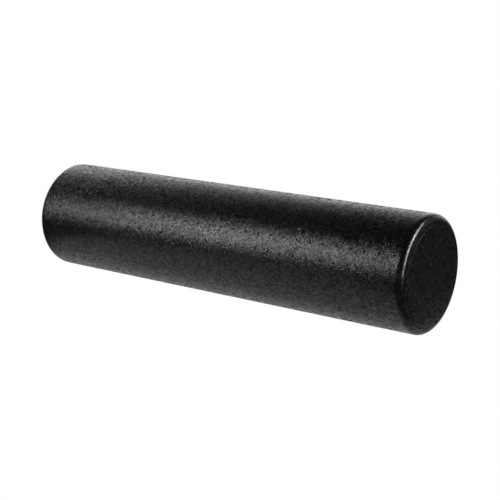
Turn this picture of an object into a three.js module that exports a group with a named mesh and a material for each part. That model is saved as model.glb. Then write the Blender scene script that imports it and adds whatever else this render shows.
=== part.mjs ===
// A firm foam roller for massage and stretching, a nominal 6 inches across and 24 inches long.
//
// The roller is one solid block of expanded polypropylene (EPP) bead foam, fused by steam in a
// two-part mould. It has no core, cap, cover or fastener, so the whole object is one piece.
// Each end is a flat round plateau, left by the mould's end plate and standing a little proud,
// with a flat ledge round it and then the rounded edge that leads onto the rolling surface.
//
// Millimetres. X runs along the roller's axis and Z is up. The roller lies on its side, and the
// origin is on the ground under its middle.

import * as THREE from 'three';

// Driving dimensions
const LENGTH = 612; // a nominal 24 inches, over both end plateaus
const DIAMETER = 152.4; // rolling surface, 6 inches
const EDGE_RADIUS = 8.5; // rounding between the rolling surface and each end
const PLATEAU_HEIGHT = 0.4; // how far each end plateau stands proud of its ledge
const PLATEAU_BEVEL = 0.4; // slope round the plateau's rim
const LEDGE_WIDTH = 6.2; // flat ledge between the plateau and the rounded edge
const FACETS = 64; // flats round the roller, a multiple of 4, wide enough for it to lie still
const EDGE_STEPS = 8; // facets across each rounded edge

// Sizes that follow from them
const FACET_ANGLE = (2 * Math.PI) / FACETS;
const RADIUS = DIAMETER / 2;
const AXIS_HEIGHT = RADIUS * Math.cos(FACET_ANGLE / 2); // a flat facet lies on the ground
const LEDGE_AT = LENGTH / 2 - PLATEAU_HEIGHT;
const EDGE_CENTRE_AT = LEDGE_AT - EDGE_RADIUS;
const EDGE_CENTRE_RADIUS = RADIUS - EDGE_RADIUS;
const PLATEAU_RADIUS = EDGE_CENTRE_RADIUS - LEDGE_WIDTH;

// The half outline from the middle of an end face out to the rolling surface: x is the distance
// from the roller's axis and y the distance along it from the roller's middle.
function endOutline() {
  const points = [
    new THREE.Vector2(0, LENGTH / 2),
    new THREE.Vector2(PLATEAU_RADIUS - PLATEAU_BEVEL, LENGTH / 2),
    new THREE.Vector2(PLATEAU_RADIUS, LEDGE_AT),
  ];
  for (let step = 0; step <= EDGE_STEPS; step += 1) {
    const angle = (Math.PI / 2) * (1 - step / EDGE_STEPS);
    points.push(new THREE.Vector2(
      EDGE_CENTRE_RADIUS + EDGE_RADIUS * Math.cos(angle),
      EDGE_CENTRE_AT + EDGE_RADIUS * Math.sin(angle),
    ));
  }
  return points;
}

// The whole outline, from the axis at the -X end to the axis at the +X end.
function rollerOutline() {
  const nearEnd = endOutline();
  const farEnd = nearEnd.map((point) => new THREE.Vector2(point.x, -point.y));
  return [...farEnd, ...nearEnd.reverse()];
}

function foamBody() {
  const geometry = new THREE.LatheGeometry(rollerOutline(), FACETS, FACET_ANGLE / 2);
  const material = new THREE.MeshStandardMaterial({ color: 0x1b1b1c, roughness: 0.42, metalness: 0 });
  const mesh = new THREE.Mesh(geometry, material);
  mesh.name = 'foam_body';
  mesh.rotation.z = -Math.PI / 2; // the lathe's axis, Y, turns onto X
  mesh.position.z = AXIS_HEIGHT;
  return mesh;
}

const roller = new THREE.Group();
roller.add(foamBody());

export default roller;
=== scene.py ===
"""A black bead-foam massage roller lying on a pale studio floor.

The roller is one block of expanded polypropylene (EPP): foam beads that steam has fused in a
two-part mould. Its skin is built bead by bead. Each bead is a cell of a Voronoi pattern, pressed
flat by the mould, with a fine crease round it. The mould also left rows of small vent marks, a
raised parting line along each side, and a plateau and a ledge on each end.

Lengths of the skin are in millimetres until its mesh is made, and all else is in metres.
"""

import math

import bpy
import numpy as np
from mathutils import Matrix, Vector
from mathutils.geometry import delaunay_2d_cdt


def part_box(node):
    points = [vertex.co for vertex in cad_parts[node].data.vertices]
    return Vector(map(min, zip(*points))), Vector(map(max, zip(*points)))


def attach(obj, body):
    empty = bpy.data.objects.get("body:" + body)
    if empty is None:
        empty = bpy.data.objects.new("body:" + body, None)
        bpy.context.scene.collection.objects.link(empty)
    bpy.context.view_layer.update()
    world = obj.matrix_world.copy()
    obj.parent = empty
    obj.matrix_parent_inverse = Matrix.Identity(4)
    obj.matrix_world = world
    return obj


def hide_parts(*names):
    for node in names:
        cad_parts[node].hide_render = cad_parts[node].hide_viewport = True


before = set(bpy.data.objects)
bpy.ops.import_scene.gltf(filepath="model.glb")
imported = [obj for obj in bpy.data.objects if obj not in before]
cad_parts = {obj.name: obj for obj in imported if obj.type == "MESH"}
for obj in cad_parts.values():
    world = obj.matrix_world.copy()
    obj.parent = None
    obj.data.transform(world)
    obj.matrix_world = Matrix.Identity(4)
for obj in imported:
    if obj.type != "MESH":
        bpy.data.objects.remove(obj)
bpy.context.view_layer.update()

MM = 0.001
SEED = 24

# The roller's place and size, from the CAD body. The foam's ends swell a little past it.
END_SWELL = 0.5
LOW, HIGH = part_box("foam_body")
HALF_LENGTH = (HIGH.x - LOW.x) / 2 / MM + END_SWELL
RADIUS = (HIGH.z - LOW.z) / 2 / MM
AXIS_HEIGHT = (HIGH.z + LOW.z) / 2 / MM

# The outline of an end, from its middle outwards. Steep steps lead from the plateau down to the
# ledge, and from the ledge down over the lip to the rounded edge.
PLATEAU_RADIUS = 62.0
PLATEAU_HEIGHT = 0.4
LEDGE_INNER_RADIUS = 62.1
LIP_HEIGHT = 0.2
LIP_WIDTH = 0.12
EDGE_RADIUS = 8.3

LEDGE_AT = HALF_LENGTH - PLATEAU_HEIGHT
EDGE_CENTRE_AT = LEDGE_AT - LIP_HEIGHT - EDGE_RADIUS
EDGE_CENTRE_RADIUS = RADIUS - EDGE_RADIUS
LEDGE_OUTER_RADIUS = EDGE_CENTRE_RADIUS - LIP_WIDTH

# The mantle is the rounded edges and the rolling surface: s runs along its outline, t round it.
EDGE_ARC = EDGE_RADIUS * math.pi / 2
STRAIGHT = 2 * EDGE_CENTRE_AT
MANTLE_LENGTH = STRAIGHT + 2 * EDGE_ARC
HALF_TURN = math.pi * RADIUS
PARTING_ANGLE = math.radians(-29)

# Beads. A bead's top is its crown, which covers a share of its cell. Tilt is a slope.
BEAD_PITCH = 2.9
BEAD_AREA = BEAD_PITCH ** 2 * math.sin(math.radians(60))
RELAX_STEPS = 3
CREASE_DEPTH = 0.07
CREASE_VARIATION = (0.6, 1.4)
CROWN_SHARE = 0.78
BEAD_DOME = 0.02
BEAD_TILT = 0.145
BEAD_LIFT = 0.03
PIT_SHARE = 0.02
PIT_DEPTH = 0.32
EDGE_CREASE = 0.02
MIRROR_MARGIN = 4 * BEAD_PITCH
MERGE = 0.01
TOUCH = 1e-7
PLAIN_TONE = 0.5

# Steam vents, in rows along the rolling surface. Each step of the profile is a share of the
# vent's radius and of its depth. Beads closer than a share of the clearance are dropped.
VENT_PITCH = 20.0
VENT_COLUMNS = 30
VENT_ROWS_PER_HALF = 11
VENT_ROW_PITCH = HALF_TURN / VENT_ROWS_PER_HALF
VENT_RADIUS = 1.2
VENT_DEPTH = 0.55
VENT_CLEARANCE = 2.9
VENT_CROWDING = 0.4
VENT_SIDES = 14
VENT_PROFILE = ((1.0, 0.0), (0.9, -0.35), (0.72, -0.85), (0.4, -1.0))

# The parting line, a ragged thread of flash.
FLASH_HALF_WIDTH = 0.38
FLASH_HEIGHT = 0.12
FLASH_VARIATION = (0.35, 1.25)
FLASH_SMOOTHING = (0.25, 0.5, 0.25)
FLASH_STEP = 1.6

# How deep the relief is, against 1 on the rolling surface, and the lengths over which the relief
# and the polish change.
EDGE_RELIEF = 0.2
END_RELIEF = 1.8
RELIEF_RAMP = 14.0
POLISH_RAMP = 3.0

# The map: the mantle's two halves side by side, and the two ends in a column beside them.
MAP_SIZE = 650.0
MAP_MARGIN = 6.0
END_MAP_X = 2 * HALF_TURN + 2 * MAP_MARGIN + RADIUS
END_MAP_Y = {1: RADIUS + MAP_MARGIN, -1: 3 * RADIUS + 2 * MAP_MARGIN}

# The foam's look. A pair is the range over the beads. Four numbers are the usual range of a noise
# and then the values that it gives.
BEAD_GREY = (0.0036, 0.0124)
BEAD_SPECULAR = (0.072, 0.168)
BEAD_ROUGHENING = (-0.02, 0.04)
SKIN_ROUGHNESS = 0.3
EDGE_ROUGHNESS = 0.285
# In the creases and vents the darker grey and the weaker reflection are painted shade. Their higher
# roughness is their own.
CREASE_SHADE_GREY = 0.004
CREASE_SHADE_SPECULAR = 0.06
CREASE_ROUGHNESS = 0.5
CREASE_SHARPNESS = 1.3
WORN_SCALE = 28.0
WORN_ROUGHENING = (0.3, 0.7, 0.0, 0.03)
FINE_SCALE = 900.0
FINE_ROUGHENING = (0.3, 0.7, 0.0, 0.04)
NOISE_DETAIL = 3.0

# The glossy film that the hot mould leaves on each bead.
FILM_SHARE = (0.375, 1.05)
FILM_MOTTLE = (0.35, 0.65, 0.7, 1.3)
FILM_ROUGHNESS = 0.125
EDGE_FILM_ROUGHNESS = 0.16
FILM_ROUGHENING = (-0.03, 0.03)

# A grain too fine for the mesh, fainter on the rounded edges.
GRAIN_SCALE = 720.0
GRAIN_DETAIL = 2.0
GRAIN_HEIGHT = 0.00026
EDGE_GRAIN = 0.35

# The studio. A ramp is (start, end, value before, value after).
DIFFUSE_LIGHT = 0.25
FLOOR_SIZE = 12.0
FLOOR_HEIGHT = -0.0005

# The floor's glow in reflections, a painted pool of light, by distance from the roller's middle
# line, and then past its ends, where it dims as painted shade.
NEAR_GLOW = (0.12, 0.2, 0.58, 0.48)
NEAR_FADE = (0.36, 0.5, 1.0, 0.15)
FAR_GLOW = (0.5, 1.1, 0.0, 0.5)
END_FADE = (0.0, 0.06, 1.0, 0.14)

# In front of the roller, the floor's painted pool of light also ends along a slanted line on the
# right.
SLANT_START = 0.08
SLANT = 0.92
SLANT_INSET = 0.015

# The world's light by the height of a direction, and the wall's shares by height and by side.
FRONT_LIGHT = (0.0, 0.25, 0.5, 0.03)
WALL_LIGHT = (0.15, 0.85, 1.5, 0.03)
WALL_FOOT = (0.0, 0.25, 0.65, 1.0)
WALL_HIGH_SIDE = (-0.45, 0.35, 1.0, 0.2)
WALL_HIGH = (0.1, 0.35, 0.0, 1.0)
WALL_RIGHT = (0.16, 0.4, 1.0, 0.22)
FRONT_TO_WALL = (-0.25, 0.25, 0.0, 1.0)

# Softboxes: name, azimuth, elevation, width, height, radiance, distance.
SOFTBOXES = (
    ("key_softbox", -36, 22, 0.8, 1.1, 4.9, 2.0),
    ("left_softbox", -105, 12, 1.6, 1.6, 2.0, 2.5),
    ("right_strip", 110, 30, 0.42, 0.44, 9.5, 1.5),
    ("right_softbox", 99, 24, 1.0, 0.66, 12.5, 2.5),
    ("high_softbox", 124, 37, 0.3, 0.25, 6.0, 1.5),
    ("low_strip", 88, 8, 0.3, 0.52, 14.5, 1.5),
)

# The camera, by its direction and distance from the roller's middle and its move to the right
# and up from there.
CAMERA_AZIMUTH = 36.73
CAMERA_ELEVATION = 13.88
CAMERA_DISTANCE = 1.6124
CAMERA_RIGHT = 0.02149
CAMERA_UP = -0.01265
CAMERA_LENS = 84.0
CAMERA_SENSOR = 36.0


class Mantle:
    """The part of the mantle made by one half of the mould, as a rectangle in s and t."""

    def __init__(self, number):
        self.low = np.array([0.0, number * HALF_TURN + FLASH_HALF_WIDTH])
        self.high = np.array([MANTLE_LENGTH, (number + 1) * HALF_TURN - FLASH_HALF_WIDTH])
        self.number = number

    def scattered(self, rng):
        size = self.high - self.low
        count = int(size.prod() / BEAD_AREA)
        return self.low + rng.random((count, 2)) * size

    def vents(self):
        columns = (np.arange(VENT_COLUMNS) - (VENT_COLUMNS - 1) / 2) * VENT_PITCH
        rows = (np.arange(VENT_ROWS_PER_HALF) + 0.5) * VENT_ROW_PITCH
        s, t = np.meshgrid(columns + MANTLE_LENGTH / 2, rows + self.number * HALF_TURN)
        return np.column_stack([s.ravel(), t.ravel()])

    def mirrored(self, seeds):
        """The mirror images that close the cells along the rectangle's four sides."""
        every = seeds
        for side in (0, 1):
            images = []
            for limit in (self.low[side], self.high[side]):
                near = every[np.abs(every[:, side] - limit) < MIRROR_MARGIN].copy()
                near[:, side] = 2 * limit - near[:, side]
                images.append(near)
            every = np.vstack([every, *images])
        return every[len(seeds):]

    def held(self, points):
        """Edge corners, moved inside the rectangle."""
        return np.clip(points, self.low, self.high)

    def relief(self, points):
        """How deep the skin's relief is: shallower on the rounded edges."""
        inside = np.minimum(points[..., 0], MANTLE_LENGTH - points[..., 0]) - EDGE_ARC
        ramp = np.clip(inside / RELIEF_RAMP, 0, 1)
        return EDGE_RELIEF + (1 - EDGE_RELIEF) * ramp

    def placed(self, points, height):
        return mantle_points(points[..., 0], points[..., 1], height)

    def mapped(self, points):
        return np.stack([points[..., 1] + MAP_MARGIN, points[..., 0] + MAP_MARGIN], axis=-1)


class Ring:
    """A flat ring on an end of the roller, or a disc where its inner radius is 0."""

    def __init__(self, side, inner, outer, at):
        self.side = side
        self.inner = inner
        self.outer = outer
        self.at = at

    def scattered(self, rng):
        count = int(math.pi * (self.outer ** 2 - self.inner ** 2) / BEAD_AREA)
        radius = np.sqrt(rng.uniform(self.inner ** 2, self.outer ** 2, count))
        angle = rng.uniform(0, 2 * math.pi, count)
        return np.column_stack([radius * np.cos(angle), radius * np.sin(angle)])

    def vents(self):
        return np.zeros((0, 2))

    def mirrored(self, seeds):
        """The mirror images that close the cells along the ring's round edges."""
        radius = np.linalg.norm(seeds, axis=1)
        images = []
        for limit in (self.inner, self.outer):
            near = np.abs(radius - limit) < MIRROR_MARGIN
            if limit > 0:
                images.append(seeds[near] * (2 * limit / radius[near] - 1)[:, None])
        return np.vstack(images)

    def held(self, points):
        """Edge corners, moved onto whichever round edge is nearer."""
        radius = np.linalg.norm(points, axis=1)
        nearer_inner = np.abs(radius - self.inner) < np.abs(radius - self.outer)
        limit = np.where(nearer_inner & (self.inner > 0), self.inner, self.outer)
        return points * (limit / radius)[:, None]

    def relief(self, points):
        return np.full(points.shape[:-1], END_RELIEF)

    def placed(self, points, height):
        x = self.side * (self.at + height)
        return np.stack([x, self.side * points[..., 0], points[..., 1]], axis=-1)

    def mapped(self, points):
        return points + [END_MAP_X, END_MAP_Y[self.side]]


def mantle_points(s, t, height):
    """Points at a height above the mantle, with the roller's axis through z = 0."""
    turn = np.clip(s, 0, EDGE_ARC) + np.clip(s - EDGE_ARC - STRAIGHT, 0, EDGE_ARC)
    turn = turn / EDGE_RADIUS
    x = np.clip(s - EDGE_ARC, 0, STRAIGHT) - EDGE_CENTRE_AT
    x = x - (EDGE_RADIUS + height) * np.cos(turn)
    radius = EDGE_CENTRE_RADIUS + (EDGE_RADIUS + height) * np.sin(turn)
    angle = PARTING_ANGLE + t / RADIUS
    return np.stack([x, -radius * np.cos(angle), radius * np.sin(angle)], axis=-1)


class Skin:
    """The roller's skin as it grows: points, faces, and what the material reads from them."""

    def __init__(self):
        self.count = 0
        self.points, self.creases, self.maps = [], [], []
        self.faces, self.map_rules, self.tones = [], [], []

    def add_points(self, points, crease, mapped):
        """Adds points, and returns their numbers in an array of the same shape."""
        flat = points.reshape(-1, 3)
        ids = self.count + np.arange(len(flat))
        self.points.append(flat)
        self.creases.append(np.broadcast_to(crease, points.shape[:-1]).ravel())
        self.maps.append(mapped.reshape(-1, 2))
        self.count += len(flat)
        return ids.reshape(points.shape[:-1])

    def add_faces(self, corners, tone, map_rule=None):
        """Adds faces with 3 or 4 corners each. Their corners lie on the map where their points do,
        unless there is a rule, which face_map explains."""
        corners = np.asarray(corners)
        self.faces.append(corners.reshape(-1, corners.shape[-1]))
        self.map_rules.append(map_rule)
        self.tones.append(np.broadcast_to(tone, corners.shape[:-1]).ravel())

    def gathered(self):
        """The points, creases and map places added so far, each as one array."""
        self.points = [np.vstack(self.points)]
        self.creases = [np.concatenate(self.creases)]
        self.maps = [np.vstack(self.maps)]
        return self.points[0], self.creases[0], self.maps[0]


def circumcentres(triangles):
    """The centre of the circle through each triangle's three corners."""
    origin = triangles[:, 0]
    b = triangles[:, 1] - origin
    c = triangles[:, 2] - origin
    cross = 2 * (b[:, 0] * c[:, 1] - b[:, 1] * c[:, 0])
    bb = (b ** 2).sum(axis=1)
    cc = (c ** 2).sum(axis=1)
    x = (c[:, 1] * bb - b[:, 1] * cc) / cross
    y = (b[:, 0] * cc - c[:, 0] * bb) / cross
    return origin + np.column_stack([x, y])


def voronoi(patch, seeds):
    """The corners of the cells round the seeds, which of them lie on the patch's edge, and the
    cells by their number of corners, each with its seed's number and its corners in order."""
    every = np.vstack([seeds, patch.mirrored(seeds)])
    made = delaunay_2d_cdt([Vector(p) for p in every], [], [], 0, TOUCH, False)
    triangles = np.array(made[2])
    triangles = triangles[(triangles < len(seeds)).any(axis=1)]
    centres = circumcentres(every[triangles])
    on_edge = (triangles >= len(seeds)).any(axis=1)
    centres[on_edge] = patch.held(centres[on_edge])

    # Corners that nearly coincide become one.
    keys = np.round(centres / MERGE).astype(np.int64)
    _, first, corner_of = np.unique(keys, axis=0, return_index=True, return_inverse=True)
    corner_of = corner_of.ravel()
    corners = centres[first]
    corner_on_edge = np.zeros(len(corners), bool)
    np.logical_or.at(corner_on_edge, corner_of, on_edge)

    # Each seed's corners, sorted by their angle round it.
    pairs = np.column_stack([triangles.ravel(), np.repeat(corner_of, 3)])
    pairs = np.unique(pairs[pairs[:, 0] < len(seeds)], axis=0)
    spoke = corners[pairs[:, 1]] - seeds[pairs[:, 0]]
    order = np.lexsort((np.arctan2(spoke[:, 1], spoke[:, 0]), pairs[:, 0]))
    owner, corner = pairs[order].T
    sides = np.bincount(owner, minlength=len(seeds))
    start = np.cumsum(sides) - sides
    cells = []
    for number in np.unique(sides):
        members = np.flatnonzero(sides == number)
        cells.append((members, corner[start[members][:, None] + np.arange(number)]))
    return corners, corner_on_edge, cells


def relaxed(patch, rng):
    """Seeds of beads, evened out by moving each one to the middle of its cell. Vents come first and
    stay where they are."""
    vents = patch.vents()
    seeds = np.vstack([vents, patch.scattered(rng)])
    for _ in range(RELAX_STEPS):
        corners, _, cells = voronoi(patch, seeds)
        for members, loops in cells:
            seeds[members] = corners[loops].mean(axis=1)
        seeds[:len(vents)] = vents
    return cleared(seeds, len(vents))


def cleared(seeds, vents):
    """Beads moved off the vents, and dropped where a vent is on top of them."""
    if not vents:
        return seeds
    beads = seeds[vents:]
    nearest = nearest_vent(beads, seeds[:vents])
    offset = beads - nearest
    distance = np.linalg.norm(offset, axis=1, keepdims=True)
    pushed = nearest + offset * np.maximum(1, VENT_CLEARANCE / distance)
    return np.vstack([seeds[:vents], pushed[distance[:, 0] > VENT_CROWDING * VENT_CLEARANCE]])


def nearest_vent(points, vents):
    """The nearest point of the vents' grid to each point."""
    low = vents.min(axis=0)
    high = vents.max(axis=0)
    pitch = np.array([VENT_PITCH, VENT_ROW_PITCH])
    return np.clip(low + np.round((points - low) / pitch) * pitch, low, high)


def add_beads(skin, patch, rng):
    """Adds a patch of beads to the skin, and returns its edge corners' numbers and places."""
    seeds = relaxed(patch, rng)
    corners, on_edge, cells = voronoi(patch, seeds)
    depth = CREASE_DEPTH * rng.uniform(*CREASE_VARIATION, len(corners))
    depth = np.where(rng.random(len(corners)) < PIT_SHARE, PIT_DEPTH, depth)
    depth = np.where(on_edge, EDGE_CREASE, depth)
    places = patch.placed(corners, -depth * patch.relief(corners))
    # Cell corners lie in the creases, where the material paints shade.
    corner_ids = skin.add_points(places, 1.0, patch.mapped(corners))
    vents = len(patch.vents())
    outlines = {}
    for members, loops in cells:
        is_vent = members < vents
        add_crowns(skin, patch, corners[loops[~is_vent]], corner_ids[loops[~is_vent]], rng)
        for member, loop in zip(members[is_vent], loops[is_vent]):
            outlines[member] = (corners[loop], corner_ids[loop])
    if vents:
        add_vents(skin, patch, seeds[:vents], [outlines[i] for i in range(vents)])
    edge = np.flatnonzero(on_edge)
    return corner_ids[edge], corners[edge]


def add_crowns(skin, patch, outlines, rim, rng):
    """The pressed-flat tops of beads that all have the same number of corners."""
    if not len(outlines):
        return
    centre = outlines.mean(axis=1, keepdims=True)
    spoke = outlines - centre
    size = np.linalg.norm(spoke, axis=2).mean(axis=1)[:, None, None]
    tilt = rng.uniform(-BEAD_TILT, BEAD_TILT, (len(outlines), 1, 2))
    lift = -rng.random((len(outlines), 1)) * BEAD_LIFT

    def add_ring(offset):
        dome = BEAD_DOME * (1 - ((offset / size) ** 2).sum(axis=2))
        height = lift + (tilt * offset).sum(axis=2) + dome - BEAD_DOME
        places = centre + offset
        points = patch.placed(places, height * patch.relief(places))
        return skin.add_points(points, 0.0, patch.mapped(places))

    crown = add_ring(spoke * CROWN_SHARE)
    middle = add_ring(spoke[:, :1] * 0)
    tone = rng.random((len(outlines), 1))
    skin.add_faces(quads(rim, crown), tone)
    tips = np.broadcast_to(middle, crown.shape)
    skin.add_faces(np.stack([crown, np.roll(crown, -1, axis=1), tips], axis=2), tone)


def quads(outer, inner):
    """Four-cornered faces between two rings of the same number of points."""
    return np.stack([outer, np.roll(outer, -1, -1), np.roll(inner, -1, -1), inner], axis=-1)


def add_vents(skin, patch, centres, outlines):
    """Round dimples that the mould's steam vents left, each inside one cell."""
    angle = np.arange(VENT_SIDES) * 2 * math.pi / VENT_SIDES
    circle = np.column_stack([np.cos(angle), np.sin(angle)])
    rings = []
    # The crease value rises to 1 towards the dimple's floor, where the material paints shade.
    for share, height in VENT_PROFILE:
        places = centres[:, None] + circle * VENT_RADIUS * share
        points = patch.placed(places, np.full(places.shape[:-1], VENT_DEPTH * height))
        rings.append(skin.add_points(points, -height, patch.mapped(places)))
    floor = patch.placed(centres, np.full(len(centres), -VENT_DEPTH))
    middle = skin.add_points(floor, 1.0, patch.mapped(centres))
    collars = []
    for centre, (outline, rim), ring in zip(centres, outlines, rings[0]):
        spoke = outline - centre
        outline_angle = np.arctan2(spoke[:, 1], spoke[:, 0]) % (2 * math.pi)
        collars.append(zipped(*closed(rim, outline_angle), *closed(ring, angle)))
    skin.add_faces(np.vstack(collars), PLAIN_TONE)
    for outer, inner in zip(rings, rings[1:]):
        skin.add_faces(quads(outer, inner), PLAIN_TONE)
    last = rings[-1]
    tips = np.broadcast_to(middle[:, None], last.shape)
    skin.add_faces(np.stack([last, np.roll(last, -1, axis=1), tips], axis=-1), PLAIN_TONE)


def closed(ids, angles):
    """A loop of points in order of angle, with its first point repeated a full turn later."""
    order = np.argsort(angles)
    ids, angles = ids[order], angles[order]
    return np.append(ids, ids[0]), np.append(angles, angles[0] + 2 * math.pi)


def zipped(lower, lower_at, upper, upper_at):
    """Triangles that join two rows of points, each with its rising place along the rows. The lower
    row is the outer one of two loops."""
    triangles = []
    i = j = 0
    while i < len(lower) - 1 or j < len(upper) - 1:
        lower_next = lower_at[i + 1] if i < len(lower) - 1 else math.inf
        upper_next = upper_at[j + 1] if j < len(upper) - 1 else math.inf
        if lower_next <= upper_next:
            triangles.append((lower[i], lower[i + 1], upper[j]))
            i += 1
        else:
            triangles.append((lower[i], upper[j + 1], upper[j]))
            j += 1
    return np.array(triangles)


def crest_points(rng):
    """The ragged crest of a parting line: places along it and heights."""
    count = int(MANTLE_LENGTH / FLASH_STEP)
    s = np.linspace(0, MANTLE_LENGTH, count)
    rough = rng.uniform(*FLASH_VARIATION, count)
    rough = np.convolve(np.pad(rough, 1, mode="edge"), FLASH_SMOOTHING, mode="valid")
    return s, FLASH_HEIGHT * rough


def add_parting_line(skin, below, above, t, wraps, rng):
    """The raised line where the mould's halves met, between two rows of edge corners. Returns the
    numbers of its two end points."""
    s, height = crest_points(rng)
    places = np.column_stack([s, np.full(len(s), t)])
    mapped = np.column_stack([places[:, 1], places[:, 0]]) + MAP_MARGIN
    crest = skin.add_points(mantle_points(s, places[:, 1], height), 0.0, mapped)
    for rows in ((*below, crest, s), (crest, s, *above)):
        skin.add_faces(zipped(*rows), PLAIN_TONE, "wrap" if wraps else None)
    return crest[[0, -1]]


def edge_row(ids, places, side, limit):
    """The edge corners along one side of a mantle half, in order, with their places along it."""
    on_side = np.abs(places[:, side] - limit) < MERGE
    ids, at = ids[on_side], places[on_side, 1 - side]
    order = np.argsort(at)
    return ids[order], at[order]


def end_angles(skin, ids, side):
    """Each point's angle round the roller's axis, seen from outside that end."""
    points = skin.gathered()[0][ids]
    return np.arctan2(points[:, 2], side * points[:, 1]) % (2 * math.pi)


def ring_edge(ids, places, radius):
    """The edge corners on one round edge of a ring."""
    return ids[np.abs(np.linalg.norm(places, axis=1) - radius) < MERGE]


def join_loops(skin, outer, inner, side, planar):
    """Joins two round loops of an end."""
    outer_loop = closed(outer, end_angles(skin, outer, side))
    inner_loop = closed(inner, end_angles(skin, inner, side))
    faces = zipped(*outer_loop, *inner_loop)
    skin.add_faces(faces, PLAIN_TONE, ("end", side) if planar else None)


def grown_skin():
    """The whole skin of the roller, closed all round."""
    rng = np.random.default_rng(SEED)
    skin = Skin()
    halves = [Mantle(0), Mantle(1)]
    edges = [add_beads(skin, half, rng) for half in halves]
    first, second = ((half, *edge) for half, edge in zip(halves, edges))

    def row(part, side, limit):
        half, ids, places = part
        return edge_row(ids, places, side, getattr(half, limit)[side])

    crests = [
        add_parting_line(skin, row(first, 1, "high"), row(second, 1, "low"), HALF_TURN, False, rng),
        add_parting_line(skin, row(second, 1, "high"), row(first, 1, "low"), 0.0, True, rng),
    ]
    for side, limit in ((-1, "low"), (1, "high")):
        crest_ends = [ends[0 if side < 0 else 1] for ends in crests]
        mantle_loop = np.concatenate([row(first, 0, limit)[0], row(second, 0, limit)[0], crest_ends])
        add_end(skin, side, mantle_loop, rng)
    return skin


def add_end(skin, side, mantle_loop, rng):
    """An end's ledge and plateau, joined to each other and to the mantle."""
    ledge = Ring(side, LEDGE_INNER_RADIUS, LEDGE_OUTER_RADIUS, LEDGE_AT)
    plateau = Ring(side, 0.0, PLATEAU_RADIUS, HALF_LENGTH)
    ledge_edge = add_beads(skin, ledge, rng)
    plateau_edge = add_beads(skin, plateau, rng)
    join_loops(skin, mantle_loop, ring_edge(*ledge_edge, LEDGE_OUTER_RADIUS), side, True)
    join_loops(skin, ring_edge(*ledge_edge, LEDGE_INNER_RADIUS), plateau_edge[0], side, False)


def face_map(skin, corners, rule):
    """Where the corners of these faces lie on the map. "wrap" is for faces that cross from the
    second half of the mantle to the first, and ("end", side) for those that belong to an end."""
    points, _, maps = skin.gathered()
    mapped = maps[corners]
    if rule == "wrap":
        across = mapped[..., 0] - MAP_MARGIN
        mapped[..., 0] = np.where(across > HALF_TURN, across - 2 * HALF_TURN, across) + MAP_MARGIN
    elif rule is not None:
        side = rule[1]
        flat = points[corners]
        mapped = np.stack([side * flat[..., 1], flat[..., 2]], axis=-1)
        mapped = mapped + [END_MAP_X, END_MAP_Y[side]]
    return mapped


def edge_polish(points):
    """1 on the rounded edges, which the mould pressed smoother than the rest, and 0 elsewhere."""
    past = np.clip((np.abs(points[:, 0]) - EDGE_CENTRE_AT) / POLISH_RAMP + 1, 0, 1)
    return past * (np.hypot(points[:, 1], points[:, 2]) > LEDGE_OUTER_RADIUS - MERGE)


def skin_mesh(skin):
    """A Blender mesh of the skin, with its map and the values that its material reads."""
    points, creases, _ = skin.gathered()
    mesh = bpy.data.meshes.new("foam_roller")
    loops = np.concatenate([faces.ravel() for faces in skin.faces])
    sides = np.concatenate([np.full(len(faces), faces.shape[1]) for faces in skin.faces])
    mapped = np.vstack([
        face_map(skin, faces, rule).reshape(-1, 2)
        for faces, rule in zip(skin.faces, skin.map_rules)
    ])
    mesh.vertices.add(len(points))
    placed = (points + [0, 0, AXIS_HEIGHT]) * MM
    mesh.vertices.foreach_set("co", placed.astype(np.float32).ravel())
    mesh.loops.add(len(loops))
    mesh.loops.foreach_set("vertex_index", loops.astype(np.int32))
    mesh.polygons.add(len(sides))
    mesh.polygons.foreach_set("loop_start", (np.cumsum(sides) - sides).astype(np.int32))
    mesh.update(calc_edges=True)
    mesh.polygons.foreach_set("use_smooth", np.ones(len(sides), bool))
    # The crease value masks the creases and vents, which the material makes rougher and paints with
    # shade.
    add_value(mesh, "crease", "POINT", creases)
    add_value(mesh, "polish", "POINT", edge_polish(points))
    add_value(mesh, "bead_tone", "FACE", np.concatenate(skin.tones))
    layer = mesh.uv_layers.new(name="OFBake")
    layer.uv.foreach_set("vector", (mapped / MAP_SIZE).astype(np.float32).ravel())
    return mesh


def add_value(mesh, name, domain, values):
    """Gives each point or face of the mesh a number that a material can read."""
    attribute = mesh.attributes.new(name, "FLOAT", domain)
    attribute.data.foreach_set("value", values.astype(np.float32))


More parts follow.
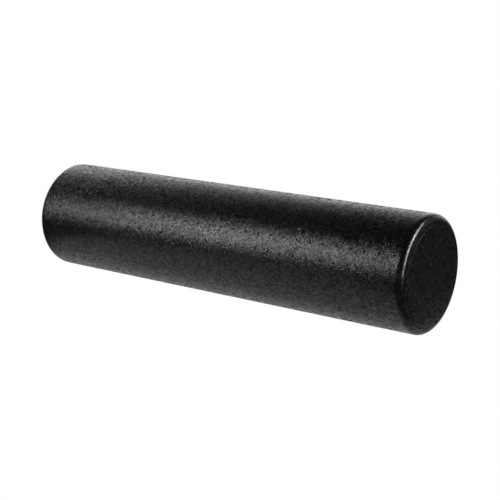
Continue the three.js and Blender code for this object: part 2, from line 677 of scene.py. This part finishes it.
class Nodes:
    """A material's or world's node tree, built by short calls."""

    def __init__(self, tree):
        self.tree = tree
        tree.nodes.clear()

    def add(self, kind, settings=None, **inputs):
        """Adds a node. An input takes a value or another node's output, and is named as in
        Blender with _ for each space, or by its number after a _."""
        node = self.tree.nodes.new(kind)
        for name, value in (settings or {}).items():
            setattr(node, name, value)
        for name, value in inputs.items():
            self.set(node, name, value)
        return node

    def set(self, node, name, value):
        key = int(name[1:]) if name[0] == "_" else name.replace("_", " ")
        socket = node.inputs[key]
        if isinstance(value, bpy.types.NodeSocket):
            self.tree.links.new(value, socket)
        else:
            socket.default_value = value

    def attribute(self, name):
        """A number that the mesh holds."""
        return self.add("ShaderNodeAttribute", {"attribute_name": name}).outputs["Fac"]

    def noise(self, place, scale, detail):
        node = self.add("ShaderNodeTexNoise", Vector=place, Scale=scale, Detail=detail)
        return node.outputs[0]

    def math(self, operation, *values):
        inputs = {f"_{i}": value for i, value in enumerate(values)}
        return self.add("ShaderNodeMath", {"operation": operation}, **inputs).outputs[0]

    def mix(self, share, first, second):
        """A number between first and second."""
        return self.add("ShaderNodeMix", _0=share, _2=first, _3=second).outputs[0]

    def scaled(self, value, low, high, to_low, to_high, kind="LINEAR"):
        """A value between low and high, turned into one between to_low and to_high."""
        node = self.add(
            "ShaderNodeMapRange", {"interpolation_type": kind},
            _0=value, _1=low, _2=high, _3=to_low, _4=to_high,
        )
        return node.outputs[0]

    def ramp(self, value, ramp):
        """A smooth change from one value to another."""
        return self.scaled(value, *ramp, kind="SMOOTHSTEP")

    def grey(self, value):
        return self.add("ShaderNodeCombineColor", Red=value, Green=value, Blue=value).outputs[0]


def foam_material():
    """Black EPP: satin bead tops that differ a little under a glossy film, and creases and vents
    that are rougher and carry painted shade: a darker grey, a weaker reflection and no film."""
    material = bpy.data.materials.new("bead_foam")
    material.use_nodes = True
    nodes = Nodes(material.node_tree)
    crease = nodes.attribute("crease")
    polish = nodes.attribute("polish")
    tone = nodes.attribute("bead_tone")
    place = nodes.add("ShaderNodeTexCoord").outputs["Object"]
    fine = nodes.noise(place, FINE_SCALE, NOISE_DETAIL)
    worn = nodes.noise(place, WORN_SCALE, NOISE_DETAIL)
    grain = nodes.noise(place, GRAIN_SCALE, GRAIN_DETAIL)

    def over_beads(pair):
        return nodes.scaled(tone, 0.0, 1.0, *pair)

    # Painted shade in the creases and vents: a darker grey, a weaker reflection and no film. Their
    # higher roughness is real.
    crease_dull_and_shade = nodes.math("POWER", crease, CREASE_SHARPNESS)
    shade = nodes.mix(crease_dull_and_shade, over_beads(BEAD_GREY), CREASE_SHADE_GREY)
    rough = nodes.mix(polish, SKIN_ROUGHNESS, EDGE_ROUGHNESS)
    rough = nodes.math("ADD", rough, over_beads(BEAD_ROUGHENING))
    rough = nodes.math("ADD", rough, nodes.scaled(worn, *WORN_ROUGHENING))
    rough = nodes.math("ADD", rough, nodes.scaled(fine, *FINE_ROUGHENING))
    film = nodes.scaled(fine, *FILM_MOTTLE)
    film = nodes.math("MULTIPLY", over_beads(FILM_SHARE), film)
    film_rough = nodes.mix(polish, FILM_ROUGHNESS, EDGE_FILM_ROUGHNESS)
    film_rough = nodes.math("ADD", film_rough, over_beads(FILM_ROUGHENING))
    grain_strength = nodes.mix(polish, 1.0, EDGE_GRAIN)
    bump = nodes.add("ShaderNodeBump", Strength=grain_strength, Distance=GRAIN_HEIGHT, Height=grain)
    surface = nodes.add(
        "ShaderNodeBsdfPrincipled",
        Base_Color=nodes.grey(shade),
        Roughness=nodes.mix(crease_dull_and_shade, rough, CREASE_ROUGHNESS),
        Specular_IOR_Level=nodes.mix(crease, over_beads(BEAD_SPECULAR), CREASE_SHADE_SPECULAR),
        Normal=bump.outputs[0],
        Coat_Weight=nodes.mix(crease, film, 0.0),
        Coat_Roughness=film_rough,
        Coat_Normal=bump.outputs[0],
    )
    nodes.add("ShaderNodeOutputMaterial", Surface=surface.outputs[0])
    return material


def floor_material():
    """A white floor that glows. For the camera the glow stays even. For reflections it is a painted
    pool of light that falls off away from the roller, with painted shade past the roller's ends and
    beyond a slanted line in front."""
    material = bpy.data.materials.new("studio_floor")
    material.use_nodes = True
    nodes = Nodes(material.node_tree)
    path = nodes.add("ShaderNodeLightPath").outputs
    place = nodes.add("ShaderNodeNewGeometry").outputs["Position"]
    x, y = nodes.add("ShaderNodeSeparateXYZ", _0=place).outputs[:2]

    # A painted pool of light round the roller, seen only in reflections.
    past_end = nodes.math("SUBTRACT", nodes.math("ABSOLUTE", x), HALF_LENGTH * MM)
    along = nodes.math("POWER", nodes.math("MAXIMUM", past_end, 0.0), 2.0)
    across = nodes.math("POWER", y, 2.0)
    distance = nodes.math("SQRT", nodes.math("ADD", along, across))
    lit = nodes.math("MULTIPLY", nodes.ramp(distance, NEAR_GLOW), nodes.ramp(distance, NEAR_FADE))
    lit = nodes.math("ADD", lit, nodes.ramp(distance, FAR_GLOW))

    # Painted shade past the roller's ends and beyond a slanted line in front.
    ahead = nodes.math("SUBTRACT", nodes.math("MULTIPLY", y, -1.0), SLANT_START)
    ahead = nodes.math("MAXIMUM", ahead, 0.0)
    slanted = nodes.math("ADD", x, nodes.math("MULTIPLY", ahead, SLANT))
    slanted = nodes.math("SUBTRACT", slanted, HALF_LENGTH * MM - SLANT_INSET)
    beyond = nodes.math("MAXIMUM", past_end, slanted)
    lit = nodes.math("MULTIPLY", lit, nodes.ramp(beyond, END_FADE))

    lit = nodes.mix(path["Is Diffuse Ray"], lit, DIFFUSE_LIGHT)
    glow = nodes.mix(path["Is Camera Ray"], lit, 1.0)
    emission = nodes.add("ShaderNodeEmission", Color=(1, 1, 1, 1), Strength=glow)
    nodes.add("ShaderNodeOutputMaterial", Surface=emission.outputs[0])
    return material


def set_world():
    """White for the camera. Reflections see a dim ceiling that brightens towards the horizon, and
    a pale wall behind the roller."""
    world = bpy.data.worlds.new("studio")
    bpy.context.scene.world = world
    world.use_nodes = True
    nodes = Nodes(world.node_tree)
    path = nodes.add("ShaderNodeLightPath").outputs
    direction = nodes.add("ShaderNodeTexCoord").outputs["Generated"]
    x, y, z = nodes.add("ShaderNodeSeparateXYZ", _0=direction).outputs[:3]

    high_side = nodes.mix(nodes.ramp(z, WALL_HIGH), 1.0, nodes.ramp(x, WALL_HIGH_SIDE))
    wall = nodes.math("MULTIPLY", nodes.ramp(z, WALL_LIGHT), high_side)
    wall = nodes.math("MULTIPLY", wall, nodes.ramp(x, WALL_RIGHT))
    wall = nodes.math("MULTIPLY", wall, nodes.ramp(z, WALL_FOOT))
    seen = nodes.mix(nodes.ramp(y, FRONT_TO_WALL), nodes.ramp(z, FRONT_LIGHT), wall)
    seen = nodes.mix(path["Is Diffuse Ray"], seen, DIFFUSE_LIGHT)
    strength = nodes.mix(path["Is Camera Ray"], seen, 1.0)
    light = nodes.add("ShaderNodeBackground", Color=(1, 1, 1, 1), Strength=strength)
    nodes.add("ShaderNodeOutputWorld", Surface=light.outputs[0])


def floor_piece():
    """A square floor just under the roller's lowest beads."""
    half = FLOOR_SIZE / 2
    corners = [
        (-half, -half, FLOOR_HEIGHT),
        (half, -half, FLOOR_HEIGHT),
        (half, half, FLOOR_HEIGHT),
        (-half, half, FLOOR_HEIGHT),
    ]
    mesh = bpy.data.meshes.new("studio_floor")
    mesh.from_pydata(corners, [], [range(len(corners))])
    mesh.materials.append(floor_material())
    piece = bpy.data.objects.new("studio_floor", mesh)
    bpy.context.scene.collection.objects.link(piece)
    return piece


def toward(azimuth, elevation):
    """A direction: azimuth 0 is -Y, the front, and 90 is +X."""
    a, e = math.radians(azimuth), math.radians(elevation)
    return Vector((math.sin(a) * math.cos(e), -math.cos(a) * math.cos(e), math.sin(e)))


def roller_middle():
    return Vector((0, 0, AXIS_HEIGHT * MM))


def add_softbox(name, azimuth, elevation, width, height, radiance, distance):
    """An area light that faces the roller, seen in reflections but not by the camera."""
    light = bpy.data.lights.new(name, "AREA")
    light.shape = "RECTANGLE"
    light.size, light.size_y = width, height
    # An area light of power P and area A has a radiance of P / (4 * A).
    light.energy = radiance * width * height * 4
    piece = bpy.data.objects.new(name, light)
    direction = toward(azimuth, elevation)
    piece.location = roller_middle() + direction * distance
    piece.rotation_mode = "QUATERNION"
    piece.rotation_quaternion = direction.to_track_quat("Z", "Y")
    piece.visible_camera = False
    piece.visible_diffuse = False
    bpy.context.scene.collection.objects.link(piece)


def add_camera():
    data = bpy.data.cameras.new("camera")
    data.lens = CAMERA_LENS
    data.sensor_width = CAMERA_SENSOR
    camera = bpy.data.objects.new("camera", data)
    bpy.context.scene.collection.objects.link(camera)
    back = toward(CAMERA_AZIMUTH, CAMERA_ELEVATION)
    right = Vector((0, 0, 1)).cross(back).normalized()
    up = back.cross(right)
    moved = right * CAMERA_RIGHT + up * CAMERA_UP
    camera.location = roller_middle() + back * CAMERA_DISTANCE + moved
    camera.rotation_mode = "QUATERNION"
    camera.rotation_quaternion = (-back).to_track_quat("-Z", "Y")
    bpy.context.scene.camera = camera


roller = bpy.data.objects.new("bead_foam_roller", skin_mesh(grown_skin()))
bpy.context.scene.collection.objects.link(roller)
roller.data.materials.append(foam_material())
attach(roller, "root")
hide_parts("foam_body")

floor = floor_piece()
set_world()
for softbox in SOFTBOXES:
    add_softbox(*softbox)
add_camera()
bpy.context.scene.view_settings.view_transform = "Standard"
